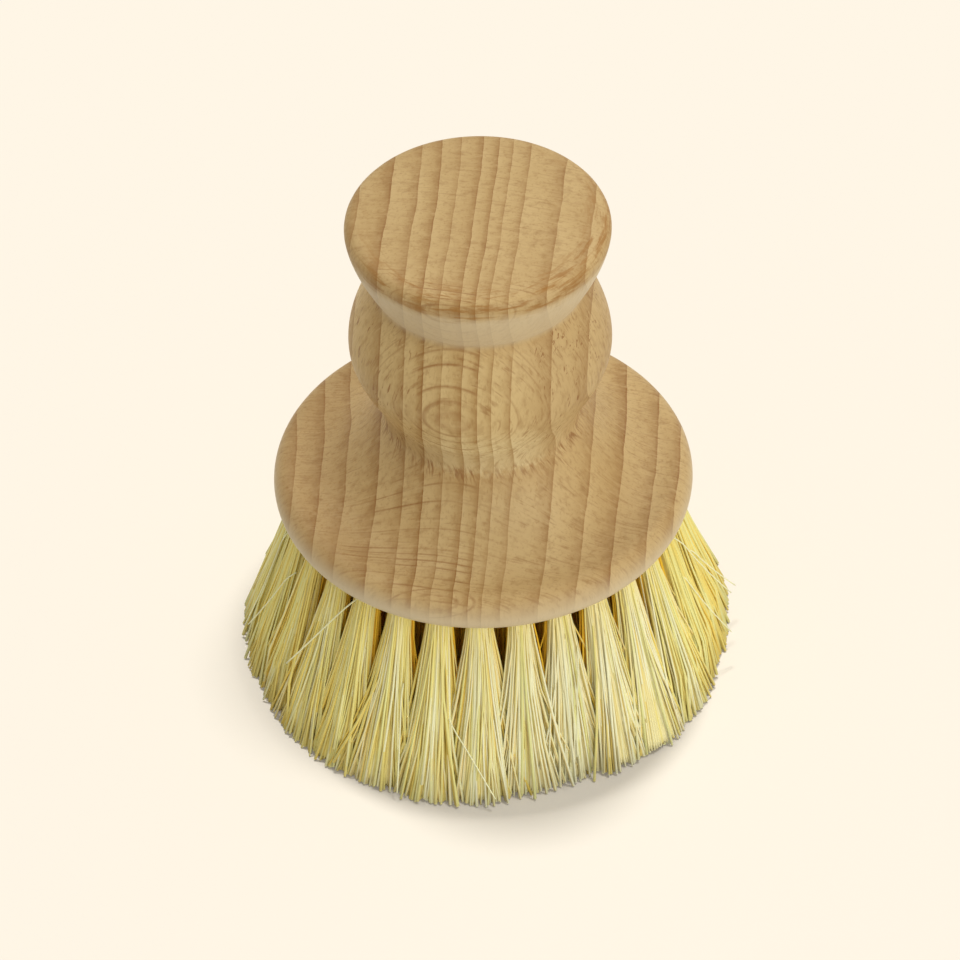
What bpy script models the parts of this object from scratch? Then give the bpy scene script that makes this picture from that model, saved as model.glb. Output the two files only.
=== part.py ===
"""Palm-size dish brush: a turned beech block filled with tufts of plant fibre.

The brush stands on its trimmed fibre tips. The origin is on the turning axis at
the level of the tips, and +Z runs up the axis to the knob. The block is one
spindle turning. Its flat underside has blind holes in rings, drilled at the
angle at which each tuft splays. A tuft is a bundle of fibres folded over a
short flat wire anchor, which holds the fold at the bottom of its hole.
"""

import math

import bmesh
import bpy
from mathutils import Matrix, Vector

MM = 0.001

# Levels of the whole brush
FREE_FIBRE_HEIGHT = 31.3 * MM
WAIST_RISE = 17.5 * MM
BEAD_RISE = 14.3 * MM
GROOVE_RISE = 11.9 * MM
KNOB_RISE = 9.8 * MM

# Turned block
DISC_RADIUS = 32.5 * MM
RIM_THICKNESS = 6.4 * MM
WAIST_RADIUS = 15.05 * MM
BEAD_RADIUS = 19.9 * MM
GROOVE_RADIUS = 15.9 * MM
KNOB_RADIUS = 19.8 * MM
KNOB_EDGE_RADIUS = 1.9 * MM
KNOB_DOME_HEIGHT = 1.3 * MM

# How each stretch of the outline bends between its two ends
DOME_BEND_SHARE = 2.0
COVE_BEND_SHARE = 1.5
DISC_BEND_SHARE = 2.2

# Points on each stretch of the outline, and around the turning
DOME_STEPS = 4
EDGE_STEPS = 4
COVE_STEPS = 6
BEAD_UPPER_STEPS = 6
BEAD_LOWER_STEPS = 8
DISC_STEPS = 8
RIM_STEPS = 8
TURNING_STEPS = 48
CREASE_ANGLE = math.radians(32)

# Tuft holes
HOLE_RADIUS = 2.2 * MM
HOLE_DEPTH = 4.3 * MM
DRILL_POINT_DEPTH = 0.7 * MM
SEAT_CLEARANCE = 0.3 * MM
CUT_OVERRUN = 2.0 * MM

# Rings of tufts, evenly spaced and evenly splayed from the centre tuft out to
# the outer ring, whose holes leave a narrow land inside the rim's rounding
OUTER_COUNT = 28
MIDDLE_COUNT = 18
INNER_COUNT = 8
RING_NUMBER = 3
OUTER_SPLAY = math.radians(15)
EDGE_LAND = 0.22 * MM

# Half widths of a fanned-out tuft at its tips: outward from the axis, and
# around it as a share of half the pitch
OUTER_REACH_OUTWARD = 3.05 * MM
INSIDE_REACH_OUTWARD = 4.4 * MM
REACH_AROUND_SHARE = 0.92

# A bundle's strands: the core strand's corner radius, the part of its root
# width that a strand keeps, and how late along its length the bundle fans out
CORE_CORNER_SHARE = 0.42
STRAND_WIDTH_SHARE = 0.9
FAN_BEND_SHARE = 1.6
BENT_SHARES = (0.42, 1.0)
STRAIGHT_SHARES = (1.0,)
TRIM_DEPTH = 0.5 * MM

# Fold and flat wire anchor
FOLD_HEIGHT = 1.9 * MM
FOLD_CROWN_SHARE = 0.5
ANCHOR_THICKNESS = 0.5 * MM

MERGE_DISTANCE = 0.001 * MM

# Levels and places that follow from the sizes above
WAIST_LEVEL = FREE_FIBRE_HEIGHT + WAIST_RISE
BEAD_LEVEL = WAIST_LEVEL + BEAD_RISE
GROOVE_LEVEL = BEAD_LEVEL + GROOVE_RISE
KNOB_LEVEL = GROOVE_LEVEL + KNOB_RISE
RIM_RADIUS = RIM_THICKNESS / 2
RIM_LEVEL = FREE_FIBRE_HEIGHT + RIM_RADIUS
RIM_PLACE = DISC_RADIUS - RIM_RADIUS
DISC_TOP_LEVEL = FREE_FIBRE_HEIGHT + RIM_THICKNESS
KNOB_TOP_PLACE = KNOB_RADIUS - KNOB_EDGE_RADIUS
KNOB_TOP_LEVEL = KNOB_LEVEL + KNOB_EDGE_RADIUS
OUTER_HOLE_PLACE = RIM_PLACE - EDGE_LAND - HOLE_RADIUS / math.cos(OUTER_SPLAY)
PLUG_RADIUS = HOLE_RADIUS - SEAT_CLEARANCE
PLUG_DEPTH = HOLE_DEPTH - SEAT_CLEARANCE


def shares(steps):
    """Even shares of a stretch, after its first point and up to its last."""
    return [step / steps for step in range(1, steps + 1)]


def between(start, end, share):
    """The value a share of the way from start to end."""
    return start + (end - start) * share


def arc(place, level, radius, start_degrees, end_degrees, steps):
    """Points of a round edge about its centre, after its first point."""
    points = []
    for share in shares(steps):
        angle = math.radians(between(start_degrees, end_degrees, share))
        points.append((place + radius * math.cos(angle), level + radius * math.sin(angle)))
    return points


def knob_outline():
    """Shallow dome, rounded edge and the cove under it, down to the groove."""
    points = [(0, KNOB_TOP_LEVEL + KNOB_DOME_HEIGHT)]
    for share in shares(DOME_STEPS):
        drop = KNOB_DOME_HEIGHT * share ** DOME_BEND_SHARE
        points.append((KNOB_TOP_PLACE * share, KNOB_TOP_LEVEL + KNOB_DOME_HEIGHT - drop))
    points += arc(KNOB_TOP_PLACE, KNOB_LEVEL, KNOB_EDGE_RADIUS, 90, 0, EDGE_STEPS)
    for share in shares(COVE_STEPS):
        radius = between(KNOB_RADIUS, GROOVE_RADIUS, share ** COVE_BEND_SHARE)
        points.append((radius, between(KNOB_LEVEL, GROOVE_LEVEL, share)))
    return points


def bead_outline():
    """Bulging bead under the groove, drawn in to the waist by half a wave."""
    points = []
    for share in shares(BEAD_UPPER_STEPS):
        swell = math.sin(share * math.pi / 2)
        points.append((between(GROOVE_RADIUS, BEAD_RADIUS, swell), between(GROOVE_LEVEL, BEAD_LEVEL, share)))
    for share in shares(BEAD_LOWER_STEPS):
        swell = (1 + math.cos(share * math.pi)) / 2
        points.append((between(WAIST_RADIUS, BEAD_RADIUS, swell), between(BEAD_LEVEL, WAIST_LEVEL, share)))
    return points


def disc_outline():
    """Hollow sweep from the waist to the rim, the half-round rim, the underside."""
    points = []
    for share in shares(DISC_STEPS):
        fall = 1 - (1 - share) ** DISC_BEND_SHARE
        points.append((between(WAIST_RADIUS, RIM_PLACE, share), between(WAIST_LEVEL, DISC_TOP_LEVEL, fall)))
    points += arc(RIM_PLACE, RIM_LEVEL, RIM_RADIUS, 90, -90, RIM_STEPS)
    points.append((0, FREE_FIBRE_HEIGHT))
    return points


def material(name, colour, roughness, metallic=0.0):
    """A plain finish of one colour."""
    finish = bpy.data.materials.new(name)
    finish.use_nodes = True
    shader = finish.node_tree.nodes["Principled BSDF"]
    shader.inputs["Base Color"].default_value = (*colour, 1.0)
    shader.inputs["Roughness"].default_value = roughness
    shader.inputs["Metallic"].default_value = metallic
    finish.diffuse_color = (*colour, 1.0)
    return finish


def finished_mesh(name, shape, finish):
    """A closed, smooth-shaded mesh with sharp creases, from a bmesh."""
    bmesh.ops.recalc_face_normals(shape, faces=shape.faces)
    mesh = bpy.data.meshes.new(name)
    shape.to_mesh(mesh)
    shape.free()
    mesh.shade_smooth()
    mesh.set_sharp_from_angle(angle=CREASE_ANGLE)
    if finish is not None:
        mesh.materials.append(finish)
    return mesh


def place_object(name, mesh):
    """Put a mesh into the scene under a name."""
    item = bpy.data.objects.new(name, mesh)
    bpy.context.collection.objects.link(item)
    return item


def turn_block(finish):
    """Spin the outline once round the axis and close it at both poles."""
    shape = bmesh.new()
    outline = knob_outline() + bead_outline() + disc_outline()
    points = [shape.verts.new((radius, 0, level)) for radius, level in outline]
    edges = [shape.edges.new(pair) for pair in zip(points, points[1:])]
    bmesh.ops.spin(
        shape,
        geom=points + edges,
        axis=(0, 0, 1),
        cent=(0, 0, 0),
        steps=TURNING_STEPS,
        angle=2 * math.pi,
        use_merge=True,
    )
    bmesh.ops.remove_doubles(shape, verts=shape.verts, dist=MERGE_DISTANCE)
    return place_object("turned_beech_block", finished_mesh("turned_beech_block", shape, finish))


def side_angle(side, sides):
    """Angle to a corner of a bundle, with a flat side square to each anchor end."""
    return math.pi / 2 + (side + 0.5) * 2 * math.pi / sides


def ring_of_points(shape, radius, level, sides):
    """Corners of a bundle or a hole at one level."""
    angles = [side_angle(side, sides) for side in range(sides)]
    return [shape.verts.new((radius * math.cos(a), radius * math.sin(a), level)) for a in angles]


def join_rings(shape, lower, upper):
    """Side faces between two rings of corners."""
    faces = []
    for side in range(len(lower)):
        follower = (side + 1) % len(lower)
        faces.append(shape.faces.new((lower[side], lower[follower], upper[follower], upper[side])))
    return faces


def tuft_frame(hole_place, splay):
    """Where a tuft's axis crosses the underside, leaning out from the turning axis."""
    return Matrix.Translation((hole_place, 0, FREE_FIBRE_HEIGHT)) @ Matrix.Rotation(-splay, 4, "Y")


def drill(shape, sides, frame):
    """One drilled hole as a cutter: straight sides and a shallow drill point."""
    mouth = ring_of_points(shape, HOLE_RADIUS, -CUT_OVERRUN, sides)
    bottom = ring_of_points(shape, HOLE_RADIUS, HOLE_DEPTH, sides)
    point = shape.verts.new((0, 0, HOLE_DEPTH + DRILL_POINT_DEPTH))
    join_rings(shape, mouth, bottom)
    shape.faces.new(mouth)
    for side in range(sides):
        shape.faces.new((bottom[side], bottom[(side + 1) % sides], point))
    bmesh.ops.transform(shape, matrix=frame, verts=mouth + bottom + [point])


def drill_holes(block, rings):
    """Cut every ring of tuft holes out of the block's underside."""
    shape = bmesh.new()
    for ring in rings:
        for index in range(ring["count"]):
            turn = Matrix.Rotation(2 * math.pi * index / ring["count"], 4, "Z")
            drill(shape, 2 * ring["core_corners"], turn @ ring["frame"])
    drills = place_object("tuft_hole_drills", finished_mesh("tuft_hole_drills", shape, None))
    drills.hide_render = True
    drills.display_type = "WIRE"
    cut = block.modifiers.new("tuft_holes", "BOOLEAN")
    cut.operation = "DIFFERENCE"
    cut.object = drills


def bundle_cells(shape, core_corners, rim):
    """Split a bundle's end into one core cell and a ring of cells around it.

    The core has a corner in line with every second side of the bundle. Its
    edges carry four-sided cells and its corners three-sided ones.
    """
    sides = len(rim)
    core_radius = PLUG_RADIUS * CORE_CORNER_SHARE
    core = []
    for corner in range(core_corners):
        angle = math.pi / 2 + (2 * corner + 1) * 2 * math.pi / sides
        core.append(shape.verts.new((core_radius * math.cos(angle), core_radius * math.sin(angle), 0)))
    cells = [shape.faces.new(core)]
    for corner in range(core_corners):
        outer = 2 * corner
        here = core[corner]
        before = core[corner - 1]
        cells.append(shape.faces.new((before, rim[outer - 1], rim[outer], here)))
        cells.append(shape.faces.new((here, rim[outer], rim[outer + 1])))
    return cells


def fan_factor(cells, direction, reach):
    """How far apart the cells spread so that their strands' tips reach a half width."""
    middles = [cell.calc_center_median() for cell in cells]
    far = max(abs(middle[direction]) for middle in middles)
    half = max(
        abs(corner.co[direction] - middle[direction]) * STRAND_WIDTH_SHARE
        for cell, middle in zip(cells, middles)
        for corner in cell.verts
        if abs(middle[direction]) > far - MERGE_DISTANCE
    )
    return (reach - half) / far


def grow_strand(shape, cell, stations, fans):
    """Draw a cell out along the bundle, slimmed at once and fanned out by degrees."""
    middle = cell.calc_center_median()
    offsets = {corner.index: (corner.co - middle) * STRAND_WIDTH_SHARE for corner in cell.verts}
    order = [corner.index for corner in cell.verts]
    for station, fan in zip(stations, fans):
        cell = bmesh.ops.extrude_discrete_faces(shape, faces=[cell])["faces"][0]
        place = Vector((middle.x * fan[0], middle.y * fan[1], -station))
        for corner, name in zip(cell.verts, order):
            corner.co = place + offsets[name]
    return cell


def anchor_ends(shape, sides):
    """Raise the two ends of the flat wire from the flanks of the fold."""
    flat = PLUG_RADIUS * math.cos(math.pi / len(sides))
    flanks = [side for side in sides if abs(side.calc_center_median().x) < ANCHOR_THICKNESS / 2]
    for flank in flanks:
        width = min(edge.calc_length() for edge in flank.edges)
        bmesh.ops.inset_individual(shape, faces=[flank], thickness=(width - ANCHOR_THICKNESS) / 2)
        end = bmesh.ops.extrude_discrete_faces(shape, faces=[flank])["faces"][0]
        for corner in end.verts:
            corner.co.y = math.copysign(flat, corner.co.y)


def bind_tuft(name, ring, finish):
    """One tuft of a ring, at the ring's first place, trimmed level at its tips.

    Its root fills the hole up to the seat clearance. The fold tapers to its
    crown at the bottom of the hole, and the wire runs through it around the
    brush. Below the wood the bundle parts into strands.
    """
    shape = bmesh.new()
    sides = 2 * ring["core_corners"]
    rim = ring_of_points(shape, PLUG_RADIUS, 0, sides)
    shoulder = ring_of_points(shape, PLUG_RADIUS, PLUG_DEPTH - FOLD_HEIGHT, sides)
    crown = ring_of_points(shape, PLUG_RADIUS * FOLD_CROWN_SHARE, PLUG_DEPTH, sides)
    join_rings(shape, rim, shoulder)
    fold = join_rings(shape, shoulder, crown)
    shape.faces.new(crown)
    cells = bundle_cells(shape, ring["core_corners"], rim)
    shape.verts.index_update()

    length = (FREE_FIBRE_HEIGHT + TRIM_DEPTH) / math.cos(ring["splay"])
    length += ring["reach_outward"] * math.tan(ring["splay"])
    outward = fan_factor(cells, 0, ring["reach_outward"] * math.cos(ring["splay"]))
    around = fan_factor(cells, 1, ring["reach_around"])
    stations = [length * share for share in ring["station_shares"]]
    bends = [share ** FAN_BEND_SHARE for share in ring["station_shares"]]
    fans = [(between(1, outward, bend), between(1, around, bend)) for bend in bends]
    core, around_core = cells[0], cells[1:]
    grow_strand(shape, core, stations[-1:], fans[-1:])
    for cell in around_core:
        grow_strand(shape, cell, stations, fans)
    bmesh.ops.recalc_face_normals(shape, faces=shape.faces)
    anchor_ends(shape, fold)

    bmesh.ops.transform(shape, matrix=ring["frame"], verts=shape.verts)
    trimmed = bmesh.ops.bisect_plane(
        shape,
        geom=shape.verts[:] + shape.edges[:] + shape.faces[:],
        plane_co=(0, 0, 0),
        plane_no=(0, 0, -1),
        clear_outer=True,
    )
    rims = [piece for piece in trimmed["geom_cut"] if isinstance(piece, bmesh.types.BMEdge)]
    bmesh.ops.holes_fill(shape, edges=rims, sides=0)
    return finished_mesh(name, shape, finish)


def set_ring(ring, block, finish):
    """Set the tufts of one ring into their holes, all of one shape."""
    mesh = bind_tuft(ring["name"], ring, finish)
    for index in range(ring["count"]):
        name = f"{ring['name']}_{index + 1:02d}" if ring["count"] > 1 else ring["name"]
        tuft = place_object(name, mesh)
        tuft.rotation_euler.z = 2 * math.pi * index / ring["count"]
        tuft.parent = block


def ring_of_tufts(name, count, number, core_corners, reach_outward, station_shares):
    """The sizes that one ring's holes and tufts share, by its number from the centre."""
    place = OUTER_HOLE_PLACE * number / RING_NUMBER
    splay = OUTER_SPLAY * number / RING_NUMBER
    tip_place = place + FREE_FIBRE_HEIGHT * math.tan(splay)
    half_pitch = math.pi * tip_place / count
    return {
        "name": name,
        "count": count,
        "core_corners": core_corners,
        "splay": splay,
        "reach_outward": reach_outward,
        "reach_around": half_pitch * REACH_AROUND_SHARE if number else reach_outward,
        "station_shares": station_shares,
        "frame": tuft_frame(place, splay),
    }


def build():
    for item in list(bpy.data.objects):
        bpy.data.objects.remove(item, do_unlink=True)

    beech = material("oiled_beech", (0.61, 0.42, 0.24), 0.55)
    fibre = material("plant_fibre", (0.72, 0.66, 0.34), 0.6)

    rings = [
        ring_of_tufts("outer_tuft", OUTER_COUNT, RING_NUMBER, 4, OUTER_REACH_OUTWARD, BENT_SHARES),
        ring_of_tufts("middle_tuft", MIDDLE_COUNT, 2, 3, INSIDE_REACH_OUTWARD, STRAIGHT_SHARES),
        ring_of_tufts("inner_tuft", INNER_COUNT, 1, 3, INSIDE_REACH_OUTWARD, STRAIGHT_SHARES),
        ring_of_tufts("centre_tuft", 1, 0, 3, INSIDE_REACH_OUTWARD, STRAIGHT_SHARES),
    ]

    block = turn_block(beech)
    drill_holes(block, rings)
    for ring in rings:
        set_ring(ring, block, fibre)


build()
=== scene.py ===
"""Dish brush: a turned beech block with folded tufts of plant fibre.

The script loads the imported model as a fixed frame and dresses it. The block is
one turned surface with drilled holes in its flat underside, and every tuft is a
bundle of folded fibres over a flat wire anchor. All sizes are in metres, the
origin is on the turning axis at the level of the fibre tips, and +Z runs up the
axis to the knob.
"""

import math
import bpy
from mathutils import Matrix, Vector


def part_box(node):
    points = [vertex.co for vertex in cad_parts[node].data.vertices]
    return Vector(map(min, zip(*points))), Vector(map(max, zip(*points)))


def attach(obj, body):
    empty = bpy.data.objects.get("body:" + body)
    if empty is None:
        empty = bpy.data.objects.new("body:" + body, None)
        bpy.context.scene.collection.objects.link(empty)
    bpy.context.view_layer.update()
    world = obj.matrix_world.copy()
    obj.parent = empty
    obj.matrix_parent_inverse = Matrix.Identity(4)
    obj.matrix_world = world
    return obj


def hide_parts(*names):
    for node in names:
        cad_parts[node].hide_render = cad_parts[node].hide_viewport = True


bl_info = {
    "name": "Dish Brush",
    "version": (1, 0, 0),
    "blender": (4, 5, 0),
    "location": "3D View > Sidebar > Dish Brush",
    "description": "Turns the beech block, binds its fibre tufts and lays the stage",
    "category": "Object",
}

import bpy
import numpy as np
from mathutils import Matrix, Quaternion, Vector

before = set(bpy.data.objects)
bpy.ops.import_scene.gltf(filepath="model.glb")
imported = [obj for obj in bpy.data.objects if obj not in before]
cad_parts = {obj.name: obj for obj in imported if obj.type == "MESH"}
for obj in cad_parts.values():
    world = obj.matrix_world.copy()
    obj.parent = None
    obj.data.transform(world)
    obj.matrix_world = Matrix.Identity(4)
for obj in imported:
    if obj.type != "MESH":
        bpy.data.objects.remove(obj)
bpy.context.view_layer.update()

MM = 0.001
BLOCK_LOW, BLOCK_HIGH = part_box("turned_beech_block")

# How far the camera, the lamps and the wood's figure stand turned round the
# axis, so that the tufts show in the front as they stand in their rings
VIEW_TURN = math.radians(2.3)

# Rings of tufts, from the outside in: how many tufts, the ring's number from the
# centre and the half width of a tuft at its tips, outward from the turning axis
OUTER_NUMBER = 3
TUFT_RINGS = {
    "outer_tuft": (28, OUTER_NUMBER, 4.0 * MM),
    "middle_tuft": (18, 2, 4.3 * MM),
    "inner_tuft": (8, 1, 4.3 * MM),
    "centre_tuft": (1, 0, 4.3 * MM),
}


# Settings


def length(name, description, default):
    """A length that a user may change."""
    return bpy.props.FloatProperty(
        name=name, description=description, default=default, unit="LENGTH", precision=5
    )


def angle(name, description, degrees):
    """An angle, given in degrees and kept in radians."""
    return bpy.props.FloatProperty(
        name=name, description=description, default=math.radians(degrees), subtype="ANGLE"
    )


def colour(name, description, red, green, blue):
    """A scene-linear colour."""
    return bpy.props.FloatVectorProperty(
        name=name, description=description, default=(red, green, blue), min=0.0, max=1.0, subtype="COLOR"
    )


def light(name, description, default):
    """A light's strength, as the part of a white surface's brightness that it gives."""
    return bpy.props.FloatProperty(name=name, description=description, default=default, min=0.0)


def count_of(name, description, default):
    """A number of fibres."""
    return bpy.props.IntProperty(name=name, description=description, default=default, min=8)


class BlockSettings(bpy.types.PropertyGroup):
    """Sizes and colours of the turned beech block."""

    top_level: length("Top", "Level of the middle of the knob's dome", BLOCK_HIGH.z)
    dome_height: length("Dome Height", "Rise of the dome over the knob's rounded edge", 1.3 * MM)
    knob_radius: length("Knob Radius", "Widest radius of the knob", 19.8 * MM)
    knob_edge: length("Knob Edge", "Radius of the knob's rounded edge", 1.9 * MM)
    groove_level: length("Groove Level", "Level of the groove under the knob", 75.0 * MM)
    groove_radius: length("Groove Radius", "Radius at the bottom of the groove", 15.9 * MM)
    bead_level: length("Bead Level", "Level of the bead's widest place", 63.1 * MM)
    bead_radius: length("Bead Radius", "Widest radius of the bead", 19.9 * MM)
    waist_level: length("Waist Level", "Level of the crease between bead and disc", 48.8 * MM)
    waist_radius: length("Waist Radius", "Radius at the crease between bead and disc", 15.05 * MM)
    disc_radius: length("Disc Radius", "Radius over the disc's rounded rim", BLOCK_HIGH.x)
    rim_thickness: length("Rim Thickness", "Thickness of the disc's half-round rim", 6.4 * MM)
    underside_level: length("Underside", "Level of the flat underside", BLOCK_LOW.z)
    crease_softness: length("Crease Softness", "How far sanding has softened each crease", 0.42 * MM)
    hole_radius: length("Hole Radius", "Radius of a tuft hole", 2.2 * MM)
    hole_depth: length("Hole Depth", "Depth of a tuft hole at its straight side", 4.3 * MM)
    pale_wood: colour("Pale Wood", "Early wood, just after a ring line", 0.590, 0.410, 0.180)
    mid_wood: colour("Middle Wood", "Wood in the middle of a year's growth", 0.455, 0.285, 0.105)
    late_wood: colour("Late Wood", "Late wood, just before a ring line", 0.262, 0.118, 0.028)
    ray_brown: colour("Ray Brown", "Rays and flecks cut across the grain", 0.250, 0.100, 0.024)
    # Painted sheen: the cove and the rim's foot, which turn down towards the floor, are made paler, the
    # rim's left more as painted light
    painted_sheen_wood: colour("Painted Sheen", "Scraped wood of the cove and the rim's foot", 0.700, 0.570, 0.355)
    oiled_wood: colour("Oiled Wood", "Oil-soaked wood at the knob's edge", 0.340, 0.160, 0.036)


class FibreSettings(bpy.types.PropertyGroup):
    """Sizes and colours of the fibre tufts."""

    fibre_radius: length("Fibre Radius", "Mean radius of one fibre at its tip", 0.225 * MM)
    folded_count: count_of("Folded Fibres", "Fibres folded into one tuft of the outer ring", 230)
    inside_count: count_of("Inside Fibres", "Fibres folded into one tuft of the inside rings", 80)
    outer_splay: angle("Outer Splay", "How far the outer ring leans out", 15.0)
    edge_land: length("Edge Land", "Wood between the outer holes and the rim's rounding", 0.22 * MM)
    trim_scatter: length("Trim Scatter", "Unevenness of the trimmed tips", 0.6 * MM)
    trim_radius: length("Trim Radius", "Radius that the brush is trimmed round to", 38.9 * MM)
    straw: colour("Straw", "Most of the fibres", 0.895, 0.825, 0.310)
    cream: colour("Cream", "The palest fibres", 0.960, 0.945, 0.640)
    # Golden also paints the shade on the roots and on packed fibres, as light that has come through fibres
    golden: colour("Golden", "The darkest fibres and the roots", 0.900, 0.710, 0.170)
    amber: colour("Amber", "Fibres deep in the brush, lit through other fibres", 1.000, 0.640, 0.050)
    green: colour("Green", "The few greenish fibres", 0.860, 0.840, 0.360)
    gap: colour("Gap", "Shade between the fibre ends of a tuft", 0.200, 0.130, 0.030)
    steel: colour("Steel", "The flat wire anchors", 0.450, 0.440, 0.420)


class StageSettings(bpy.types.PropertyGroup):
    """Floor, lights and camera."""

    floor_colour: colour("Floor", "Pale floor and the world behind it", 1.0, 0.921, 0.791)
    floor_bounce: colour("Floor Bounce", "Floor as the brush sees it", 0.374, 0.359, 0.336)
    lens: bpy.props.FloatProperty(
        name="Lens", description="Focal length on a sensor 36 mm wide", default=168.9, unit="CAMERA"
    )
    front_light: light("Front Light", "Light from low in front, right of the camera", 0.54)
    left_light: light("Left Light", "Light from high behind the left shoulder", 0.32)
    right_light: light("Right Light", "Light from behind on the right", 0.25)
    room_light: light("Room Light", "Even light from all round", 0.33)
    floor_light: light("Floor Light", "Light on the floor alone, from almost overhead", 0.936)


class DishBrushSettings(bpy.types.PropertyGroup):
    """All settings of the dish brush."""

    block: bpy.props.PointerProperty(type=BlockSettings)
    fibre: bpy.props.PointerProperty(type=FibreSettings)
    stage: bpy.props.PointerProperty(type=StageSettings)


# Shader maths

# Rays that see a thing, and not the light that falls on it
SEEING_RAYS = ("Is Camera Ray", "Is Glossy Ray", "Is Transmission Ray")

# The value that noise lies about
MEAN = 0.5


class Number:
    """A number that varies over a surface. Python's operators on it add Math nodes."""

    def __init__(self, nodes, socket):
        self.nodes = nodes
        self.socket = socket

    def math(self, operation, *others):
        sockets = dict(enumerate((self, *others)))
        return self.nodes.node("ShaderNodeMath", {"operation": operation}, sockets)

    def reflected(self, operation, other):
        return self.nodes.node("ShaderNodeMath", {"operation": operation}, {0: other, 1: self})

    def __add__(self, other):
        return self.math("ADD", other)

    __radd__ = __add__

    def __sub__(self, other):
        return self.math("SUBTRACT", other)

    def __rsub__(self, other):
        return self.reflected("SUBTRACT", other)

    def __mul__(self, other):
        return self.math("MULTIPLY", other)

    __rmul__ = __mul__

    def __truediv__(self, other):
        return self.math("DIVIDE", other)

    def __pow__(self, other):
        return self.math("POWER", other)

    def fraction(self):
        return self.math("FRACT")

    def whole(self):
        return self.math("FLOOR")

    def size(self):
        return self.math("ABSOLUTE")

    def at_most(self, other):
        return self.math("MINIMUM", other)

    def at_least(self, other):
        return self.math("MAXIMUM", other)

    def ease(self, low, high, start=0.0, end=1.0, how="SMOOTHSTEP"):
        """start at low and before it, end at high and after it, a smooth change between."""
        sockets = {"Value": self, "From Min": low, "From Max": high, "To Min": start, "To Max": end}
        return self.nodes.node("ShaderNodeMapRange", {"interpolation_type": how}, sockets)

    def ramp(self, low, high):
        """0 at low, 1 at high and a straight change between."""
        return self.ease(low, high, how="LINEAR")


class Nodes:
    """A node tree under construction, of a material or of the world."""

    def __init__(self, tree):
        self.tree = tree

    def feed(self, socket, value):
        """Link a socket to a value of the tree, or set it to a plain one."""
        if isinstance(value, Number):
            self.tree.links.new(value.socket, socket)
        elif socket.type == "RGBA":
            socket.default_value = (*value[:3], 1.0)
        else:
            socket.default_value = value

    def node(self, kind, settings=None, sockets=None, output=0):
        """Any node: its settings first, then the values or links of its sockets.

        It gives one output by number or name, or a list of them for a tuple.
        """
        made = self.tree.nodes.new(kind)
        for key, value in (settings or {}).items():
            if key == "stops":
                self.set_stops(made.color_ramp, value)
            else:
                setattr(made, key, value)
        for key, value in (sockets or {}).items():
            self.feed(made.inputs[key], value)
        if isinstance(output, tuple):
            return [Number(self, made.outputs[key]) for key in output]
        return Number(self, made.outputs[output])

    def set_stops(self, ramp, stops):
        """Give a ramp its stops, each a place and a grey level."""
        while len(ramp.elements) < len(stops):
            ramp.elements.new(1.0)
        for element, (place, level) in zip(ramp.elements, stops):
            element.position = place
            element.color = (level, level, level, 1.0)

    def seeing(self):
        """1 for a ray that sees a thing, 0 for one that carries light to it."""
        camera, glossy, transmission = self.node("ShaderNodeLightPath", output=SEEING_RAYS)
        return (camera + glossy + transmission).at_most(1.0)

    def surface(self, output, lit, seen):
        """Show one shader to the rays that see and another to the rest."""
        mixed = self.node("ShaderNodeMixShader", sockets={0: self.seeing(), 1: lit, 2: seen})
        self.feed(self.tree.nodes[output].inputs["Surface"], mixed)


class Finish(Nodes):
    """A material under construction, with its Principled shader."""

    def __init__(self, name, roughness, specular):
        self.material = bpy.data.materials.new(name)
        self.material.use_nodes = True
        super().__init__(self.material.node_tree)
        self.shader = self.tree.nodes["Principled BSDF"]
        self.use("Roughness", roughness)
        self.use("Specular IOR Level", specular)

    def use(self, socket, value):
        self.feed(self.shader.inputs[socket], value)

    def place(self):
        """The surface's own place in millimetres: x, y and z."""
        coordinates = self.node("ShaderNodeTexCoord", output="Object")
        parts = self.node("ShaderNodeSeparateXYZ", sockets={0: coordinates}, output=(0, 1, 2))
        return [part / MM for part in parts]

    def vector(self, x, y, z):
        return self.node("ShaderNodeCombineXYZ", sockets={0: x, 1: y, 2: z})

    def noise(self, place, detail, roughness=0.5):
        """Noise about its mean, one unit of the place to a lump."""
        sockets = {"Vector": self.vector(*place), "Scale": 1.0, "Detail": detail, "Roughness": roughness}
        return self.node("ShaderNodeTexNoise", sockets=sockets)

    def blend(self, amount, first, second, how="MIX"):
        """A colour between two colours, through the colour sockets of a Mix node."""
        sockets = {0: amount, 6: first, 7: second}
        return self.node("ShaderNodeMix", {"data_type": "RGBA", "blend_type": how}, sockets, output=2)


class Values:
    """Named numbers over a surface, each made when it is first asked for.

    A pattern is noise on three values: their names, the size of a lump along
    each, how fine its detail is and, where it isn't plain, how rough. A mark is
    a strength times one fade for each of its bands: a value's name, where the
    fade starts and where it is full, and the shares that it goes between where
    they aren't 0 and 1. Any other name is an attribute that the mesh carries.
    """

    def __init__(self, finish, patterns, marks, **known):
        self.finish = finish
        self.patterns = patterns
        self.marks = marks
        self.known = known

    def __getitem__(self, name):
        if name not in self.known:
            self.known[name] = self.make(name)
        return self.known[name]

    def make(self, name):
        if name in self.patterns:
            names, sizes, *fineness = self.patterns[name]
            place = [self[part] / size for part, size in zip(names.split(), sizes)]
            return self.finish.noise(place, *fineness)
        if name in self.marks:
            mark, *bands = self.marks[name]
            for part, *band in bands:
                mark = self[part].ease(*band) * mark
            return mark
        return self.finish.node("ShaderNodeAttribute", {"attribute_name": name}, output="Fac")

    def coat(self, tone, sizes, coats):
        """A colour with others laid over it in turn, each where its mark shows."""
        for mark, name in coats:
            tone = self.finish.blend(self[mark], tone, getattr(sizes, name))
        return tone


# Beech

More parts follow.
